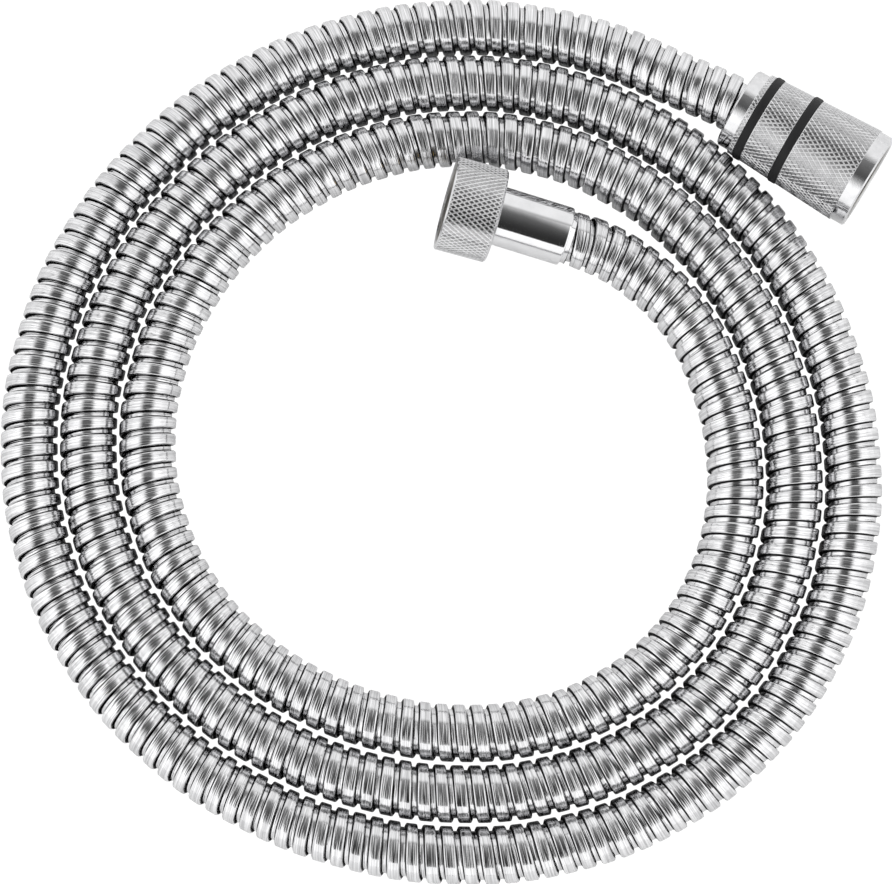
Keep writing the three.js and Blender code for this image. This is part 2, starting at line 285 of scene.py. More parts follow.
# each point is a place along the hose and a distance from its centre line
CROWN_OUTLINE = [
    (0.06, 6.16),
    (0.06, 6.72),
    (0.20, 7.02),
    (0.50, 7.15),
    (2.70, 7.15),
    (3.00, 7.03),
    (3.16, 6.72),
    (3.24, 6.06),
    (2.88, 6.80),
    (0.40, 6.80),
]
BAND_OUTLINE = [
    (3.06, 6.42),
    (3.25, 6.14),
    (3.48, 6.00),
    (4.44, 5.98),
    (4.52, 5.80),
    (5.30, 5.80),
    (5.30, 5.72),
    (3.06, 5.72),
]
print("outlines:", len(CROWN_OUTLINE), "and", len(BAND_OUTLINE), "points")

# %% [markdown]
# The Screw modifier turns an outline about an axis and moves it along that axis as it turns. One
# iteration is one winding, and the offset is the pitch. The strip starts inside the ferrule, a little
# before the rim, where the route starts.

# %% Wind an outline
WINDING_SIDES = 26
STRIP_START = -3.0 * MM
windings = math.floor((route_length - STRIP_START) / (PITCH * MM)) - 1
CROWN_RADIUS = HOSE_DIAMETER / 2


def wind(name, outline):
    """Winds an outline, in millimetres of hose and radius, into a straight hose along X."""
    points = [(x * MM + STRIP_START, r * MM) for x, r in outline]
    piece = draw_outline(name, points)
    screw = piece.modifiers.new("Wind", "SCREW")
    screw.axis = "X"
    screw.angle = math.tau
    screw.screw_offset = PITCH * MM
    screw.iterations = windings
    screw.steps = screw.render_steps = WINDING_SIDES
    screw.use_smooth_shade = True
    apply_modifiers(piece)
    return piece


print("windings:", windings)

# %% [markdown]
# The strip's grain runs along the strip, so its material needs to know where on the strip a point
# lies. While the hose is still straight that is easy to say, so each vertex gets an attribute with
# three numbers: how far along the strip, how far across it, and how deep below the crown. The first
# windings are squeezed, because the real casing is crimped there to go into the ferrule.

# %% Grain and crimp
NECK_LENGTH = 1.2 * MM
NECK_RADIUS = 6.5 * MM
FIRST_CREST_LENGTH = 0.8 * PITCH * MM
FIRST_CREST_RADIUS = 6.95 * MM


def describe_strip(piece, outline):
    """Writes the attribute that tells the material how the strip runs."""
    grain = piece.data.attributes.new("strip", "FLOAT_VECTOR", "POINT")
    around = math.tau * CROWN_RADIUS
    across = [vertex.co.x - STRIP_START for vertex in piece.data.vertices[: len(outline)]]
    for index, vertex in enumerate(piece.data.vertices):
        step, corner = divmod(index, len(outline))
        along = around * step / WINDING_SIDES
        depth = CROWN_RADIUS - math.hypot(vertex.co.y, vertex.co.z)
        grain.data[index].vector = (along, across[corner], depth)


def crimp(piece):
    """Squeezes the first windings, which go into the ferrule."""
    for vertex in piece.data.vertices:
        radius = math.hypot(vertex.co.y, vertex.co.z)
        if vertex.co.x < NECK_LENGTH:
            limit = NECK_RADIUS
        elif vertex.co.x < NECK_LENGTH + FIRST_CREST_LENGTH:
            limit = FIRST_CREST_RADIUS
        else:
            continue
        factor = min(1, limit / radius)
        vertex.co.y *= factor
        vertex.co.z *= factor


print(f"the first {(NECK_LENGTH + FIRST_CREST_LENGTH) / MM:.1f} mm are squeezed")

# %% [markdown]
# The two open ends of a ribbon are closed with a face each. Then the Curve modifier lays the straight
# hose along the route, and a Weighted Normal modifier evens the shading of the small faces.

# %% Wound strip
STRIP_SMOOTH_ANGLE = 50


def close_ends(piece):
    edit(piece, "EDGE")
    bpy.ops.mesh.select_non_manifold()
    bpy.ops.mesh.edge_face_add()
    bpy.ops.mesh.select_all(action="SELECT")
    bpy.ops.mesh.normals_make_consistent(inside=False)
    bpy.ops.object.mode_set(mode="OBJECT")


def lay_along_route(piece):
    bend = piece.modifiers.new("Lay", "CURVE")
    bend.object = route
    bend.deform_axis = "POS_X"
    even = piece.modifiers.new("Even", "WEIGHTED_NORMAL")
    even.weight = 80
    apply_modifiers(piece)


hose_pieces = []
for name, outline in (("hose_strip_crown", CROWN_OUTLINE), ("hose_strip_band", BAND_OUTLINE)):
    strip = wind(name, outline)
    describe_strip(strip, outline)
    crimp(strip)
    close_ends(strip)
    smooth(strip, STRIP_SMOOTH_ANGLE)
    lay_along_route(strip)
    hose_pieces.append(strip)
    print(f"{name}: {len(strip.data.polygons)} faces")

crown, band = hose_pieces

# %% [markdown]
# ## Turned pieces
#
# Nuts, ferrules, inserts, washers and O-rings were all turned or moulded round. A cylinder could be
# widened ring by ring to make one, but here each is an outline spun about the Z axis. The outline is
# half a cross-section, as a turner would draw it, and shows every radius in one place.

# %% Spin an outline
ROUND_SIDES = 96
MERGE_DISTANCE = 0.002 * MM
SHARP_ANGLE = 50  # degrees, past which an edge is rounded


def turn(name, outline, sides=ROUND_SIDES):
    """A solid of revolution about Z from a closed outline of (radius, height) in millimetres."""
    piece = draw_outline(name, [(r * MM, z * MM) for r, z in outline])
    bpy.ops.object.mode_set(mode="EDIT")
    bpy.ops.mesh.select_all(action="SELECT")
    bpy.ops.mesh.spin(steps=sides, angle=math.tau, center=(0, 0, 0), axis=(0, 0, 1))
    bpy.ops.mesh.select_all(action="SELECT")
    bpy.ops.mesh.remove_doubles(threshold=MERGE_DISTANCE)
    bpy.ops.mesh.normals_make_consistent(inside=False)
    bpy.ops.object.mode_set(mode="OBJECT")
    return piece


def even_normals(piece):
    """Lets the large faces decide the shading, so that a small round at an edge stays small."""
    even = piece.modifiers.new("Even", "WEIGHTED_NORMAL")
    even.weight = 90
    even.keep_sharp = True
    apply_modifiers(piece)


def soften(piece, width, segments):
    """Rounds every sharp edge a little, as a moulded piece has them."""
    bevel = piece.modifiers.new("Soften", "BEVEL")
    bevel.width = width * MM
    bevel.segments = segments
    bevel.limit_method = "ANGLE"
    bevel.angle_limit = math.radians(SHARP_ANGLE)
    apply_modifiers(piece)


def frame_at(origin, axis):
    """The matrix that takes a piece's own Z to an axis, and its own origin to a point."""
    return Matrix.Translation(origin) @ axis.to_track_quat("Z", "Y").to_matrix().to_4x4()


mixer_nut_frame = frame_at(mixer_rear, mixer_nut_axis)
mixer_frame = frame_at(mixer_rim, ferrule_axis)
handset_nut_frame = frame_at(handset_rear, handset_axis)
handset_frame = frame_at(handset_rim, handset_axis)
print("frames of turned pieces: 4, at the two rims and the two nuts")

# %% [markdown]
# ## Knurling
#
# A knurl is rolled in by two wheels with slanted teeth. What stays is a net of thin ridges with
# diamond-shaped pits between them. On a turned blank the rows of faces are squares. Poking a square
# puts a point in its middle, and dissolving the old edges leaves diamonds. Two insets then leave a
# ridge round each diamond and push its middle in. A bump in the material would be less work, but the
# nut's edge against the floor would stay straight.

# %% Knurl a band of faces
KNURL_SIDES = 64
KNURL_ROW = 2.15
RIDGE_HALF_WIDTH = 0.03
PIT_SLOPE = 0.15  # how wide a pit's sloping edge is
PIT_DEPTH = 0.10
KNURL_SMOOTH_ANGLE = 20  # low, so that every ridge stays crisp
STEEPEST_SIDE = 0.5  # the height of a face's normal, past which it is a rim and not a side


def knurl_rows(start, end, radius_at):
    """Outline points for a knurled band, one for each row of diamonds."""
    rows = max(1, round((end - start) / KNURL_ROW))
    heights = [start + (end - start) * i / rows for i in range(rows + 1)]
    return [(radius_at(z), z) for z in heights]


def in_band(face, start, end, inner_radius):
    """Whether a face is on the outside of a band between two heights, in millimetres."""
    centre = face.calc_center_median()
    outside = math.hypot(centre.x, centre.y) > inner_radius * MM
    along_side = abs(face.normal.z) < STEEPEST_SIDE
    return outside and along_side and start * MM < centre.z < end * MM


def knurl(piece, start, end, inner_radius):
    edit(piece, "FACE")
    select_faces(piece, lambda face: in_band(face, start, end, inner_radius))
    mesh = bmesh.from_edit_mesh(piece.data)
    for edge in mesh.edges:
        edge.seam = len(edge.link_faces) == 2 and all(face.select for face in edge.link_faces)
    bmesh.update_edit_mesh(piece.data)
    bpy.ops.mesh.poke()
    bpy.ops.mesh.select_mode(type="EDGE")
    bpy.ops.mesh.select_all(action="DESELECT")
    mesh = bmesh.from_edit_mesh(piece.data)
    for edge in mesh.edges:
        edge.select_set(edge.seam)
        edge.seam = False
    bmesh.update_edit_mesh(piece.data)
    bpy.ops.mesh.dissolve_edges(use_verts=False, use_face_split=False)
    bpy.ops.mesh.select_mode(type="FACE")
    select_faces(piece, lambda face: in_band(face, start, end, inner_radius))
    bpy.ops.mesh.inset(thickness=RIDGE_HALF_WIDTH * MM, use_individual=True)
    bpy.ops.mesh.inset(thickness=PIT_SLOPE * MM, depth=-PIT_DEPTH * MM, use_individual=True)
    bpy.ops.object.mode_set(mode="OBJECT")


print("knurl:", KNURL_SIDES, "diamonds round a nut")

# %% [markdown]
# ## Inside threads
#
# The pipe thread in a nut is a ridge that climbs the bore, right-handed. A Boolean could cut the
# groove between its turns, but it leaves long thin faces. So the ridge is a small outline wound by a
# Screw modifier, then joined to the nut, so that nut and thread are one piece.

# %% Cut a thread
THREAD_PITCH = 1.814
THREAD_MAJOR_RADIUS = 10.48
THREAD_MINOR_RADIUS = 9.35
THREAD_SINK = 0.1  # how far the ridge reaches into the wall
THREAD_WIDTH = 1.64  # of the ridge at the wall
THREAD_CREST = (0.32, 0.5)  # where the crest starts and ends in that width
THREAD_SIDES = 48
THREAD_END_GAP = 0.4  # from the end of the thread to the nut's mouth
MOUTH_CHAMFER = 0.55


def add_thread(nut, start, end):
    """Adds an inside thread between two heights, in millimetres."""
    wall_radius = THREAD_MAJOR_RADIUS + THREAD_SINK
    outline = [
        (wall_radius, start),
        (THREAD_MINOR_RADIUS, start + THREAD_CREST[0]),
        (THREAD_MINOR_RADIUS, start + THREAD_CREST[1]),
        (wall_radius, start + THREAD_WIDTH),
    ]
    ridge = draw_outline("thread", [(r * MM, z * MM) for r, z in outline])
    turns = (end - start - THREAD_WIDTH) / THREAD_PITCH
    screw = ridge.modifiers.new("Climb", "SCREW")
    screw.axis = "Z"
    screw.angle = math.tau * turns
    screw.screw_offset = THREAD_PITCH * MM * turns
    screw.steps = screw.render_steps = round(THREAD_SIDES * turns)
    apply_modifiers(ridge)
    close_ends(ridge)
    start_clean()
    ridge.select_set(True)
    nut.select_set(True)
    bpy.context.view_layer.objects.active = nut
    bpy.ops.object.join()
    return turns


def threaded_inside(length, shoulder, hole_radius):
    """The outline of a nut's inside, from its mouth down to its rear face."""
    return [
        (THREAD_MAJOR_RADIUS + MOUTH_CHAMFER, length),
        (THREAD_MAJOR_RADIUS, length - MOUTH_CHAMFER),
        (THREAD_MAJOR_RADIUS, shoulder),
        (hole_radius, shoulder),
        (hole_radius, 0),
    ]


print(f"thread: {THREAD_MAJOR_RADIUS - THREAD_MINOR_RADIUS:.2f} mm deep")

# %% [markdown]
# ## Inside and outside of a nut
#
# The inside of a nut is painted darker than its outside, as painted shade in its mouth, and is duller.
# The pits of the knurl are painted darker too, as painted shade. The nut's own frame still lies in its
# axis here, which makes both easy to tell: they are what lies near the axis, and what lies just below
# the ridges. Two attributes keep that for the material.

# %% Mark a nut's inside and its pits
INSIDE_RADIUS = THREAD_MAJOR_RADIUS + 0.2
INSIDE_FROM = 0.5  # up to there the rim of the rear face keeps the outside's colour, without painted shade
PIT_BAND = (0.5 * PIT_DEPTH, 2 * PIT_DEPTH)  # how far below the ridges a pit's floor may lie


def mark(nut, name, belongs):
    """An attribute that is 1 at the points for which belongs(radius, height) is true."""
    attribute = nut.data.attributes.new(name, "FLOAT", "POINT")
    for index, vertex in enumerate(nut.data.vertices):
        radius = math.hypot(vertex.co.x, vertex.co.y) / MM
        attribute.data[index].value = float(belongs(radius, vertex.co.z / MM))


def mark_nut(nut, ridge_radius):
    """Marks the inside and the pits of a nut, from the radius of its ridges at a height."""
    lowest, highest = PIT_BAND
    # painted shade: these marks say where the nut's inside and its pits are darkened
    mark(nut, "inside", lambda radius, z: radius < INSIDE_RADIUS and z > INSIDE_FROM)
    mark(nut, "pit_shade", lambda radius, z: lowest < ridge_radius(z) - radius < highest)
    print(nut.name, "has its inside and its pits marked")


print(f"a nut's inside is what lies within {INSIDE_RADIUS:.2f} mm")

# %% [markdown]
# ## The union nut
#
# A short nut, knurled nearly from end to end so that it can be done up by hand. Its mouth shows the
# first turns of the thread. It is spun from one outline, and then only its outer faces are knurled.

# %% Union nut
UNION_RADIUS = 12.2
UNION_LENGTH = 13.4
UNION_EDGE = 0.5
UNION_FRONT_EDGE = 0.3
UNION_WALL = 2.0
UNION_HOLE = 8.35
UNION_THREAD_START = 7.6

union_outline = [(UNION_RADIUS - UNION_EDGE, 0)]
union_outline += knurl_rows(UNION_EDGE, UNION_LENGTH - UNION_FRONT_EDGE, lambda z: UNION_RADIUS)
union_outline += [(UNION_RADIUS - UNION_FRONT_EDGE, UNION_LENGTH)]
union_outline += threaded_inside(UNION_LENGTH, UNION_WALL, UNION_HOLE)
union_nut = turn("mixer_union_nut_knurled", union_outline, KNURL_SIDES)
knurl(union_nut, UNION_EDGE, UNION_LENGTH - UNION_FRONT_EDGE, UNION_RADIUS - UNION_FRONT_EDGE / 2)
union_turns = add_thread(union_nut, UNION_THREAD_START, UNION_LENGTH - THREAD_END_GAP)
smooth(union_nut, KNURL_SMOOTH_ANGLE)
mark_nut(union_nut, lambda z: UNION_RADIUS)
place(union_nut, mixer_nut_frame)
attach(union_nut, "mixer_nut")
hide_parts("mixer_union_nut")
print(f"union nut: {len(union_nut.data.polygons)} faces, {union_turns:.1f} turns of thread")

# %% [markdown]
# ## The conical nut
#
# The handset's end is a slim cone that hangs in a holder on the wall. Two O-rings keep it from
# rattling there. Polished bands frame the knurling, and the grooves for the O-rings cut through it.
# The outline is put together band by band, and each knurled band is remembered for later.

# %% Conical nut
CONE_RADIUS_AT_REAR = 11.19
CONE_HALF_ANGLE = math.radians(2.87)
CONE_LENGTH = 38.7
CONE_SHOULDER = 27.0
CONE_HOLE = 7.95
CONE_THREAD_START = CONE_SHOULDER + 5.0
REAR_BAND_RADIUS = 10.75
REAR_BAND_END = 3.55
REAR_BAND_EDGE = 0.45
MOUTH_BAND_RADIUS = 12.625
MOUTH_BAND_START = 34.95
MOUTH_BAND_EDGE = 0.35
RING_GROOVES = [(5.0, 7.4), (15.9, 18.4)]
RING_GROOVE_DEPTH = 1.2
KNURL_MARGIN = 0.3  # the faces to knurl lie outside the cone's radius less this


def cone_radius(z):
    return CONE_RADIUS_AT_REAR + z * math.tan(CONE_HALF_ANGLE)


cone_outline = [
    (REAR_BAND_RADIUS - REAR_BAND_EDGE, 0),
    (REAR_BAND_RADIUS, REAR_BAND_EDGE),
    (REAR_BAND_RADIUS, REAR_BAND_END),
]
knurled_from = REAR_BAND_END
knurled_bands = []
for groove_start, groove_end in RING_GROOVES:
    floor = cone_radius(groove_start) - RING_GROOVE_DEPTH
    cone_outline += knurl_rows(knurled_from, groove_start, cone_radius)
    cone_outline += [(floor, groove_start), (floor, groove_end)]
    knurled_bands.append((knurled_from, groove_start))
    knurled_from = groove_end
knurled_bands.append((knurled_from, MOUTH_BAND_START))
cone_outline += knurl_rows(knurled_from, MOUTH_BAND_START, cone_radius)
cone_outline += [
    (MOUTH_BAND_RADIUS, MOUTH_BAND_START),
    (MOUTH_BAND_RADIUS, CONE_LENGTH - MOUTH_BAND_EDGE),
    (MOUTH_BAND_RADIUS - MOUTH_BAND_EDGE, CONE_LENGTH),
]
cone_outline += threaded_inside(CONE_LENGTH, CONE_SHOULDER, CONE_HOLE)
cone_nut = turn("handset_cone_nut_knurled", cone_outline, KNURL_SIDES)
for knurled_start, knurled_end in knurled_bands:
    knurl(cone_nut, knurled_start, knurled_end, cone_radius(knurled_start) - KNURL_MARGIN)
cone_turns = add_thread(cone_nut, CONE_THREAD_START, CONE_LENGTH - THREAD_END_GAP)
smooth(cone_nut, KNURL_SMOOTH_ANGLE)
mark_nut(cone_nut, cone_radius)
place(cone_nut, handset_nut_frame)
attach(cone_nut, "handset_nut")
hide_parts("handset_cone_nut")
print(f"conical nut: {len(cone_nut.data.polygons)} faces, {cone_turns:.1f} turns of thread")

# %% [markdown]
# ## O-rings
#
# Each O-ring is squeezed into its groove, so its section is a rounded block and not a circle, and it
# stands a little proud of the knurl. Where the nut lies on the table the ring is pressed flat. A
# torus would be quicker to add, but its round section would leave a gap at the groove's corners.

# %% O-rings
RING_PROUD = 0.26
RING_SIDE_GAP = 0.06
RING_FLOOR_GAP = 0.05
RING_ROUND = 0.5
RUBBER_SMOOTH_ANGLE = 50


def press_flat(piece):
    """Nothing reaches below the table."""
    for vertex in piece.data.vertices:
        vertex.co.z = max(vertex.co.z, 0.0)


ring_names = [
    ("handset_o_ring_rear_moulded", "handset_o_ring_rear"),
    ("handset_o_ring_front_moulded", "handset_o_ring_front"),
]
o_rings = []
for (name, node), (groove_start, groove_end) in zip(ring_names, RING_GROOVES):
    inner = cone_radius(groove_start) - RING_GROOVE_DEPTH + RING_FLOOR_GAP
    outer = cone_radius((groove_start + groove_end) / 2) + RING_PROUD
    low, high = groove_start + RING_SIDE_GAP, groove_end - RING_SIDE_GAP
    ring = turn(name, [(inner, low), (outer, low), (outer, high), (inner, high)])
    soften(ring, RING_ROUND, segments=4)
    smooth(ring, RUBBER_SMOOTH_ANGLE)
    place(ring, handset_nut_frame)
    press_flat(ring)
    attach(ring, "handset_nut")
    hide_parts(node)
    o_rings.append(ring)
    print(f"{name}: {2 * outer:.1f} mm across")

# %% [markdown]
# ## Ferrules
#
# A ferrule is a polished sleeve crimped over the casing's end, with a hole in its front wall for the
# insert's shank. Its rim is rounded in the outline itself, with one point in the middle of the round.
# A Weighted Normal modifier then lets the long wall decide the shading, so the round stays small.

# %% Ferrules
FERRULE_RADIUS = 7.6
FERRULE_BORE = 6.75
FERRULE_FRONT_WALL = 1.0
FERRULE_BORE_CHAMFER = 0.25
SHANK_HOLE = 4.0
RIM_ROUND = 0.55
ROUND_MIDDLE = 0.29 * RIM_ROUND  # how far the middle of the round lies from both sides
MIXER_FERRULE_LENGTH = 20.8
HANDSET_FERRULE_LENGTH = 18.0


def add_ferrule(name, node, length, matrix):
    outline = [
        (FERRULE_BORE, FERRULE_BORE_CHAMFER),
        (FERRULE_BORE + FERRULE_BORE_CHAMFER, 0),
        (FERRULE_RADIUS - RIM_ROUND, 0),
        (FERRULE_RADIUS - ROUND_MIDDLE, ROUND_MIDDLE),
        (FERRULE_RADIUS, RIM_ROUND),
        (FERRULE_RADIUS, 0.5 * length),
        (FERRULE_RADIUS, length),
        (SHANK_HOLE, length),
        (SHANK_HOLE, length - FERRULE_FRONT_WALL),
        (FERRULE_BORE, length - FERRULE_FRONT_WALL),
    ]
    ferrule = turn(name, outline)
    smooth(ferrule, angle=40)
    even_normals(ferrule)
    place(ferrule, matrix)
    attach(ferrule, "hose")
    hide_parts(node)
    return ferrule


ferrules = [
    add_ferrule("mixer_ferrule_polished", "mixer_ferrule", MIXER_FERRULE_LENGTH, mixer_frame),
    add_ferrule("handset_ferrule_polished", "handset_ferrule", HANDSET_FERRULE_LENGTH, handset_frame),
]
print("ferrules:", [len(ferrule.data.polygons) for ferrule in ferrules], "faces")

# %% [markdown]
# ## Inserts
#
# A turned brass insert goes through the ferrule's front wall. Its barbs hold the liner, and it ends in
# the flange that the nut pulls on. A loop adds the barbs to the outline, and the whole is spun once.

# %% Inserts
SHANK_RADIUS = 3.7
SHANK_BORE = 2.6
SHANK_BORE_CHAMFER = 0.4
SHANK_LENGTH = 16.0
FLANGE_THICKNESS = 2.0
FLANGE_GAP = 0.3
FLANGE_REAR_EDGE = 0.2
FLANGE_FRONT_EDGE = 0.3
MIXER_FLANGE_RADIUS = 8.9
HANDSET_FLANGE_RADIUS = 8.6
BARB_COUNT = 3
BARB_HEIGHT = 0.45
FIRST_BARB = 0.8  # where the first barb's crest lies, as a share of the space between barbs
SMALL_ROUND_SIDES = 64


def add_insert(name, node, ferrule_length, flange_radius, matrix):
    back = ferrule_length + FLANGE_GAP
    front = back + FLANGE_THICKNESS
    tip = back - SHANK_LENGTH
    barb_pitch = (SHANK_LENGTH - FERRULE_FRONT_WALL) / (BARB_COUNT + 1)
    wall_back = back - FERRULE_FRONT_WALL - FLANGE_GAP
    waist = SHANK_RADIUS - BARB_HEIGHT
    outline = [
        (SHANK_BORE + SHANK_BORE_CHAMFER, front),
        (SHANK_BORE, front - SHANK_BORE_CHAMFER),
        (SHANK_BORE, tip),
        (waist, tip),
    ]
    for i in range(BARB_COUNT):
        crest = tip + (i + FIRST_BARB) * barb_pitch
        outline += [(SHANK_RADIUS, crest), (waist, crest)]
    outline += [
        (waist, wall_back),
        (SHANK_RADIUS, wall_back),
        (SHANK_RADIUS, back),
        (flange_radius - FLANGE_REAR_EDGE, back),
        (flange_radius, back + FLANGE_REAR_EDGE),
        (flange_radius, front - FLANGE_FRONT_EDGE),
        (flange_radius - FLANGE_FRONT_EDGE, front),
    ]
    insert = turn(name, outline, SMALL_ROUND_SIDES)
    smooth(insert, angle=30)
    place(insert, matrix)
    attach(insert, "hose")
    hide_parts(node)
    return insert


inserts = [
    add_insert(
        "mixer_insert_turned",
        "mixer_insert",
        MIXER_FERRULE_LENGTH,
        MIXER_FLANGE_RADIUS,
        mixer_frame,
    ),
    add_insert(
        "handset_insert_turned",
        "handset_insert",
        HANDSET_FERRULE_LENGTH,
        HANDSET_FLANGE_RADIUS,
        handset_frame,
    ),
]
print("inserts:", [len(insert.data.polygons) for insert in inserts], "faces")

# %% [markdown]
# ## Seal washers
#
# A rubber washer seals in front of each flange and turns with its nut. It is a plain ring with soft
# edges, so a Bevel modifier rounds what the outline leaves sharp.

# %% Seal washers
WASHER_RADIUS = 9.2
WASHER_BORE = 5.3
WASHER_THICKNESS = 2.2
WASHER_ROUND = 0.25
SWIVEL_PLAY = 0.4  # along the axis, between a nut's shoulder and the flange
MIXER_WASHER_GAP = 0.8  # the nut hangs askew, so its washer keeps clear of the flange


def add_washer(name, node, body, back, matrix):
    front = back + WASHER_THICKNESS
    outline = [(WASHER_BORE, back), (WASHER_RADIUS, back), (WASHER_RADIUS, front), (WASHER_BORE, front)]
    washer = turn(name, outline, SMALL_ROUND_SIDES)
    soften(washer, WASHER_ROUND, segments=2)
    smooth(washer, RUBBER_SMOOTH_ANGLE)
    place(washer, matrix)
    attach(washer, body)
    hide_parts(node)
    return washer


mixer_washer_back = UNION_WALL + SWIVEL_PLAY + FLANGE_THICKNESS + MIXER_WASHER_GAP
handset_washer_back = CONE_SHOULDER + SWIVEL_PLAY + FLANGE_THICKNESS + FLANGE_GAP
washers = [
    add_washer(
        "mixer_seal_washer_moulded",
        "mixer_seal_washer",
        "mixer_nut",
        mixer_washer_back,
        mixer_nut_frame,
    ),
    add_washer(
        "handset_seal_washer_moulded",
        "handset_seal_washer",
        "handset_nut",
        handset_washer_back,
        handset_nut_frame,
    ),
]
print("washers:", [len(washer.data.polygons) for washer in washers], "faces")

# %% [markdown]
# ## The crimped neck
#
# Just behind the ferrule the casing is squeezed smooth over a short length. The strip's own windings
# could be squeezed until they merge, but a small turned collar round them gives a cleaner edge. The
# first full winding rises behind it.

# %% Crimped neck
NECK_BORE = 5.9
COLLAR_RADIUS = 6.65
COLLAR_SHOWN = 1.25
COLLAR_HIDDEN = 3.0  # inside the ferrule
COLLAR_EDGE = 0.2

neck_outline = [
    (NECK_BORE, -COLLAR_SHOWN),
    (COLLAR_RADIUS - COLLAR_EDGE, -COLLAR_SHOWN),
    (COLLAR_RADIUS, COLLAR_EDGE - COLLAR_SHOWN),
    (COLLAR_RADIUS, COLLAR_HIDDEN),
    (NECK_BORE, COLLAR_HIDDEN),
]
neck = turn("mixer_crimped_neck", neck_outline)
smooth(neck, angle=50)
place(neck, mixer_frame)
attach(neck, "hose")
print("neck:", len(neck.data.polygons), "faces")

# %% [markdown]
# ## The liner
#
# Inside the casing runs the flexible tube that carries the water. It could be wound like the strip,
# but it is smooth, so a copy of the route gets a round bevel, which turns it into a tube. Solidify
# then gives the tube its wall.

# %% Liner
LINER_RADIUS = 5.45
LINER_WALL = 1.4

pick(route)
bpy.ops.object.duplicate()
liner = bpy.context.object
liner.name = liner.data.name = "hose_liner_tube"
liner.data.bevel_depth = LINER_RADIUS * MM
liner.data.bevel_resolution = 3
liner.data.resolution_u = 5
bpy.ops.object.convert(target="MESH")
solidify = liner.modifiers.new("Wall", "SOLIDIFY")
solidify.thickness = LINER_WALL * MM
solidify.offset = -1
apply_modifiers(liner)
smooth(liner, angle=60)
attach(liner, "hose")
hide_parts("hose_liner")
print("liner:", len(liner.data.polygons), "faces")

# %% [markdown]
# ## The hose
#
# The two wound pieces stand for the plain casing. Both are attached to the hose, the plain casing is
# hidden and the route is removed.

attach(crown, "hose")
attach(band, "hose")
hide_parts("hose_casing")
bpy.data.objects.remove(route)
print(f"hose: {route_length:.3f} m of {HOSE_DIAMETER * 1000:.1f} mm")

# %% [markdown]
# ## Shader maths
#
# The materials below are written as expressions. `Number` wraps one socket and turns `+`, `-` and
# `*` into Math nodes, so a line of maths reads as it would on paper. The same nodes could be added
# one by one in the shader editor.

# %% A number in a shader


class Number:
    """A socket that carries a number, with arithmetic."""

    def __init__(self, shader, socket):
        self.shader = shader
        self.socket = socket

    def math(self, operation, *others):
        return self.shader.number("ShaderNodeMath", {"operation": operation}, self, *others)

    def __add__(self, other):
        return self.math("ADD", other)

    def __mul__(self, other):
        return self.math("MULTIPLY", other)

    def __sub__(self, other):
        return self.math("SUBTRACT", other)

    def __rsub__(self, other):
        return self.shader.number("ShaderNodeMath", {"operation": "SUBTRACT"}, other, self)

    __radd__ = __add__
    __rmul__ = __mul__

    def clamped(self):
        return self.shader.number("ShaderNodeClamp", {}, self, 0.0, 1.0)

    def step(self, low, high):
        """0 below low, 1 above high, with a smooth passage between them."""
        settings = {"interpolation_type": "SMOOTHSTEP"}
        return self.shader.number("ShaderNodeMapRange", settings, self, low, high)


print("operators on numbers: +, - and *")

# %% [markdown]
# `Shader` is one material. What is the same all over the surface is given as a name and a value, and
# goes straight to that socket. Its `node` makes any node from its type, its settings and its inputs,
# and short methods name the few kinds that the finishes use.

# %% A material and its nodes


class Shader:
    """One material with its Principled shader."""

    def __init__(self, name, **constants):
        self.material = bpy.data.materials.new(name)
        self.material.use_nodes = True
        self.tree = self.material.node_tree
        self.surface = self.tree.nodes["Principled BSDF"]
        for socket, value in constants.items():
            self.surface.inputs[socket.replace("_", " ")].default_value = value

    def node(self, kind, settings, *inputs, **named):
        made = self.tree.nodes.new(kind)
        for key, value in settings.items():
            setattr(made, key, value)
        for key, value in [*enumerate(inputs), *named.items()]:
            socket = made.inputs[key.replace("_", " ") if isinstance(key, str) else key]
            if isinstance(value, Number):
                value = value.socket
            if isinstance(value, bpy.types.NodeSocket):
                self.tree.links.new(value, socket)
            else:
                socket.default_value = value
        return made

    def number(self, kind, settings, *inputs, **named):
        return Number(self, self.node(kind, settings, *inputs, **named).outputs[0])

    def place(self):
        return self.node("ShaderNodeTexCoord", {}).outputs["Object"]

    def attribute(self, name):
        return self.node("ShaderNodeAttribute", {"attribute_name": name}).outputs["Vector"]

    def amount(self, name):
        return Number(self, self.node("ShaderNodeAttribute", {"attribute_name": name}).outputs["Fac"])

    def parts(self, vector):
        made = self.node("ShaderNodeSeparateXYZ", {}, vector)
        return [Number(self, output) for output in made.outputs]

    def stretched(self, vector, scale):
        settings = {"operation": "MULTIPLY"}
        return self.node("ShaderNodeVectorMath", settings, vector, scale).outputs[0]

    def noise(self, vector, scale, detail):
        made = self.node("ShaderNodeTexNoise", {}, Vector=vector, Scale=scale, Detail=detail)
        return Number(self, made.outputs["Fac"])

    def between(self, factor, first, second):
        """A colour between two colours, each of them three numbers or a link."""
        made = self.node("ShaderNodeMix", {"data_type": "RGBA"}, factor)
        for socket, colour in ((made.inputs[6], first), (made.inputs[7], second)):
            if isinstance(colour, bpy.types.NodeSocket):
                self.tree.links.new(colour, socket)
            else:
                socket.default_value = (*colour, 1)
        return made.outputs[2]

    def set(self, socket, value):
        value = value.socket if isinstance(value, Number) else value
        self.tree.links.new(value, self.surface.inputs[socket])

    def bump(self, height, distance):
        made = self.node("ShaderNodeBump", {}, Height=height, Distance=distance)
        self.tree.links.new(made.outputs[0], self.surface.inputs["Normal"])


def paint(piece, shader):
    piece.data.materials.clear()
    piece.data.materials.append(shader.material)


print("materials before painting:", len(bpy.data.materials))
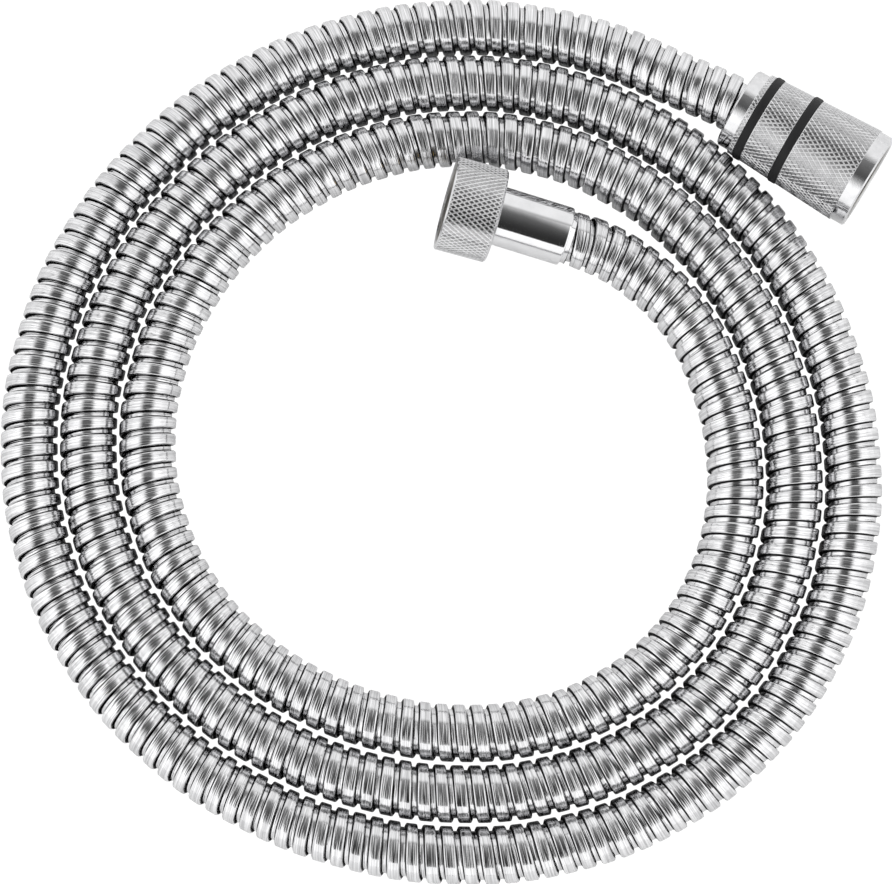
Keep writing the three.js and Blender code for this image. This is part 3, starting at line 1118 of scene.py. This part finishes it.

# %% [markdown]
# ## Wound steel
#
# The strip is bright stainless steel. Deep between the windings no light returns. Path tracing alone
# leaves those crevices too pale, so shade is painted there as a near-black colour of the steel: below
# a crown's first edge, in the gap beside its last edge, and in all that lies deeper than the band.

# %% Painted shade in the crevices of the strip
CROWN_START = min(x for x, radius in CROWN_OUTLINE) * MM
CROWN_END = max(x for x, radius in CROWN_OUTLINE) * MM
EDGE_LINE = 0.25 * MM  # half the width of the painted shade line at a crown's last edge
FIRST_EDGE_LINE = (0.02 * MM, 0.08 * MM)  # from its dark side to its bright side
FIRST_EDGE_DEPTH = (0.46 * MM, 0.56 * MM)  # the rolled edge above gets no painted shade
CREVICE_DEPTH = (1.18 * MM, 1.30 * MM)

steel = Shader("wound_steel", Metallic=1.0)
strip_place = steel.attribute("strip")
across, depth = steel.parts(strip_place)[1:]
# painted shade: masks for the dark lines at a crown's edges and for the deep faces
at_start = 1 - across.step(*(CROWN_START + width for width in FIRST_EDGE_LINE))
at_start = at_start * depth.step(*FIRST_EDGE_DEPTH)
past_end = across.step(CROWN_END - EDGE_LINE, CROWN_END - 0.5 * EDGE_LINE)
past_gap = across.step(CROWN_END + 0.5 * EDGE_LINE, CROWN_END + EDGE_LINE)
in_gap = (at_start + past_end - past_gap).clamped()
painted_crevice_shade = (depth.step(*CREVICE_DEPTH) + in_gap).clamped()
print("crevices:", len(steel.tree.nodes), "nodes")

# %% [markdown]
# Rolling leaves fine streaks along the strip. Noise is the same in all directions, so it is stretched
# in the strip's own directions, far more across it than along it. Two widths of streak together look
# less even than one. They change the colour, the gloss and, very slightly, the height.

# %% Steel of the strip
BROAD_STREAKS = (55, 1200, 0)  # how often the noise changes in a metre, along and across
FINE_STREAKS = (70, 2500, 0)
STREAK_CONTRAST = (0.35, 0.65)
STREAK_HEIGHT = 0.06 * MM


def rolled_streaks(often):
    """Streaks along the strip, from 0 to 1."""
    stretched = steel.stretched(strip_place, often)
    return steel.noise(stretched, scale=1.0, detail=1.0).step(*STREAK_CONTRAST)


broad = rolled_streaks(BROAD_STREAKS)
fine = rolled_streaks(FINE_STREAKS)
streaks = fine * 0.6 + broad * 0.4
clouds = steel.noise(steel.place(), scale=45.0, detail=2.0)
bright = steel.between(streaks, (0.56, 0.56, 0.57), (0.95, 0.95, 0.96))
dullness = fine * 0.10 + broad * 0.06 + clouds * 0.05 + painted_crevice_shade * 0.4 + 0.03
# painted shade: the base colour goes near black in the crevices
steel.set("Base Color", steel.between(painted_crevice_shade, bright, (0.010, 0.010, 0.011)))
steel.set("Roughness", dullness.clamped())
steel.bump(streaks, STREAK_HEIGHT)
for piece in (crown, band):
    paint(piece, steel)
print("steel:", len(steel.tree.nodes), "nodes")

# %% [markdown]
# ## Chrome
#
# The ferrules are brass with bright chrome plating. Plating follows the turned surface, so a faint
# waviness and a few soft clouds in its gloss keep it from looking computed.

# %% Chrome
chrome = Shader("bright_chrome", Metallic=1.0)
chrome_place = chrome.place()
handling = chrome.noise(chrome_place, scale=260.0, detail=4.0)
polish = chrome.noise(chrome_place, scale=2600.0, detail=2.0)
mirror = chrome.between(handling.step(0.3, 0.8), (0.86, 0.86, 0.87), (0.78, 0.78, 0.79))
chrome.set("Base Color", mirror)
chrome.set("Roughness", (handling * 0.07 + polish * 0.04 + 0.03).clamped())
chrome.bump(handling, 0.015 * MM)
for piece in (*ferrules, neck):
    paint(piece, chrome)
print("chrome:", len(chrome.tree.nodes), "nodes")

# %% [markdown]
# The nuts have the same plating, but hands and tools wear it. Shade is painted into the pits of the
# knurl and into each nut's inside as a darker colour. The two attributes that were written on each
# nut say where its pits and its inside are.

# %% Chrome on the knurl
knurled = Shader("knurled_chrome", Metallic=1.0)
knurled_place = knurled.place()
wear = knurled.noise(knurled_place, scale=420.0, detail=3.0)
inside = knurled.amount("inside")
pit_shade = knurled.amount("pit_shade")
plated = knurled.between(wear.step(0.3, 0.8), (0.82, 0.82, 0.83), (0.70, 0.70, 0.71))
# painted shade: the pits of the knurl are darkened
plated = knurled.between(pit_shade * 0.5, plated, (0.10, 0.10, 0.10))
# painted shade: the nut's inside is darkened
knurled.set("Base Color", knurled.between(inside, plated, (0.42, 0.41, 0.39)))
knurled.set("Roughness", (wear * 0.08 + 0.05 + pit_shade * 0.08 + inside * 0.2).clamped())
knurled.bump(knurled.noise(knurled_place, scale=3200.0, detail=2.0), 0.01 * MM)
for piece in (union_nut, cone_nut):
    paint(piece, knurled)
print("chrome on the knurl:", len(knurled.tree.nodes), "nodes")

# %% [markdown]
# ## Brass, rubber and the liner
#
# Brass and the washers' rubber show when one looks into a nut's mouth, and the O-rings show from all
# sides. The liner hardly shows. Each is a plain Principled shader with a noise or two that varies its
# colour and its gloss.

# %% Brass, rubber and plastic
brass = Shader("turned_brass", Metallic=1.0)
tarnish = brass.noise(brass.place(), scale=500.0, detail=4.0)
brass.set("Base Color", brass.between(tarnish, (0.80, 0.60, 0.28), (0.62, 0.44, 0.20)))
brass.set("Roughness", (tarnish * 0.25 + 0.18).clamped())
brass.bump(tarnish, 0.02 * MM)
for piece in inserts:
    paint(piece, brass)

rubber = Shader("ring_rubber", Specular_IOR_Level=0.28)
grain = rubber.noise(rubber.place(), scale=1500.0, detail=4.0)
patches = rubber.noise(rubber.place(), scale=220.0, detail=2.0)
rubber.set("Base Color", rubber.between(patches, (0.008, 0.008, 0.009), (0.022, 0.022, 0.023)))
rubber.set("Roughness", (patches * 0.2 + 0.48).clamped())
rubber.bump(grain, 0.04 * MM)
for piece in (*o_rings, *washers):
    paint(piece, rubber)

liner_plastic = Shader("liner_plastic")
weave = liner_plastic.noise(liner_plastic.place(), scale=900.0, detail=2.0)
milky = liner_plastic.between(weave, (0.78, 0.78, 0.75), (0.66, 0.66, 0.63))
liner_plastic.set("Base Color", milky)
liner_plastic.set("Roughness", (weave * 0.2 + 0.45).clamped())
paint(liner, liner_plastic)
print("materials so far:", len(bpy.data.materials))

# %% [markdown]
# ## Floor
#
# The hose lies on a pale table that is lit from below. Two planes share that place. The one that the
# camera sees glows softly, so that the slits between the turns stay pale. The other one only shows in
# reflections and hardly glows, so that the steel still sees shade down there.

# %% Floor
FLOOR_SIZE = 3000 * MM
LIT_GLOW, LIT_WHITE = 0.72, 0.35
PLAIN_GLOW, PLAIN_WHITE = 0.04, 0.95


def add_floor(name, glow, white, for_camera):
    start_clean()
    bpy.ops.mesh.primitive_plane_add(size=FLOOR_SIZE, location=(0, 0, 0))
    piece = bpy.context.object
    piece.name = name
    look = Shader(
        name,
        Base_Color=(white, white, white, 1),
        Roughness=0.9,
        Specular_IOR_Level=0.0,
        Emission_Color=(1, 1, 1, 1),
        Emission_Strength=glow,
    )
    paint(piece, look)
    piece.visible_camera = for_camera
    piece.visible_diffuse = piece.visible_glossy = not for_camera
    piece.visible_shadow = not for_camera
    return piece


floors = [
    add_floor("floor_lit", LIT_GLOW, LIT_WHITE, for_camera=True),
    add_floor("floor_plain", PLAIN_GLOW, PLAIN_WHITE, for_camera=False),
]
print("floors:", [piece.name for piece in floors])

# %% [markdown]
# ## Light
#
# Chrome has no colour of its own: it shows what stands round it. Round the table stands a pale tent,
# open above the hose, where the camera looks in. Its walls give the bright stretches, and the dark
# opening gives each tube its dark stripe. The side walls are so far away that every part of the hose
# sees them alike, so they are painted into the world, with soft passages.

# %% Side walls of the light tent
OPENING_SIDE = (9, 36)  # degrees from straight up, where the dark opening ends and the wall begins
OPENING_FADE = (-50, 60)  # the opening itself gets lighter towards the back
OPENING_LIGHT = 0.03
OPENING_GLOW = 0.42
WALL_LIGHT = 1.06
HIGH_WALL_LIGHT = 0.30  # added high up, where the cloth is brightest
HIGH_WALL = (0.25, 0.65)  # heights between which it is added, as the sine of the angle up


class Tent(Shader):
    """The world's own shader, which the same methods can build."""

    def __init__(self, name):
        self.world = bpy.data.worlds.new(name)
        self.world.use_nodes = True
        self.tree = self.world.node_tree
        self.surface = self.tree.nodes["Background"]
        self.surface.inputs["Color"].default_value = (1, 1, 1, 1)


def wall(lean, start, end):
    """How much wall there is at a lean from straight up, past a soft passage between two angles."""
    return lean.step(math.radians(start), math.radians(end))


def fade(lean, start, end):
    """A glow that grows ever faster from one angle to another."""
    ramp = lean.math("SUBTRACT", math.radians(start)) * (1 / math.radians(end - start))
    return ramp.clamped().math("POWER", 2.0)


tent = Tent("light_tent")
aside, back, up = tent.parts(tent.node("ShaderNodeTexCoord", {}).outputs["Generated"])
walls = wall(aside.math("ARCTAN2", up).math("ABSOLUTE"), *OPENING_SIDE)
walls = walls * (up.step(*HIGH_WALL) * HIGH_WALL_LIGHT + WALL_LIGHT)
opening = fade(back.math("ARCTAN2", up), *OPENING_FADE) * OPENING_GLOW + OPENING_LIGHT
tent.set("Strength", walls.math("MAXIMUM", opening))
bpy.context.scene.world = tent.world
bpy.context.scene.view_settings.view_transform = "Standard"
print("side walls:", len(tent.tree.nodes), "nodes")

# %% [markdown]
# The front and back walls stand so near that each part of the coil sees them at an angle of its own.
# So they are real: a tube lies across the table, its axis level, and its faces over the opening and
# under the table are deleted. The camera doesn't see what is left.

# %% Front and back walls of the light tent
TENT_RADIUS = 640 * MM
TENT_LENGTH = 3000 * MM
TENT_SIDES = 180
FRONT_WALL_FROM = -56
FRONT_WALL_TO = -84  # a dark slit stays between the cloth and the table
BACK_WALL_FROM = 30
BACK_WALL_SOFT = (30, 44)
BACK_WALL_LIGHT = 0.95
FRONT_WALL_LIGHT = 1.16
STRAIGHT_UP = 0.1  # radians either side of it, where front turns into back


def lean_of(face):
    """How far a face of the tent leans back from straight up, in degrees."""
    centre = face.calc_center_median()
    return math.degrees(math.atan2(centre.y, centre.z))


def is_open(face):
    """Whether a face lies over the opening, in the dark slit or under the table."""
    lean = lean_of(face)
    return not (FRONT_WALL_TO < lean < FRONT_WALL_FROM or BACK_WALL_FROM < lean < 90)


start_clean()
bpy.ops.mesh.primitive_cylinder_add(
    vertices=TENT_SIDES,
    radius=TENT_RADIUS,
    depth=TENT_LENGTH,
    end_fill_type="NOTHING",
    rotation=(0, math.radians(90), 0),
)
bpy.ops.object.transform_apply(location=False, rotation=True, scale=False)
panels = bpy.context.object
panels.name = panels.data.name = "light_tent_walls"
edit(panels, "FACE")
select_faces(panels, is_open)
bpy.ops.mesh.delete(type="FACE")
bpy.ops.object.mode_set(mode="OBJECT")

cloth = Shader("tent_cloth", Base_Color=(0, 0, 0, 1), Emission_Strength=1.0)
back, up = cloth.parts(cloth.place())[1:]
lean_back = back.math("ARCTAN2", up)
in_front = 1 - lean_back.step(-STRAIGHT_UP, STRAIGHT_UP)
behind = wall(lean_back, *BACK_WALL_SOFT) * (BACK_WALL_LIGHT - OPENING_GLOW)
behind = behind + OPENING_GLOW * (1 - in_front)
cloth.set("Emission Color", behind + in_front * FRONT_WALL_LIGHT)
cloth.material.cycles.emission_sampling = "NONE"
paint(panels, cloth)
panels.visible_camera = panels.visible_shadow = False
print("front and back walls:", len(panels.data.polygons), "faces")
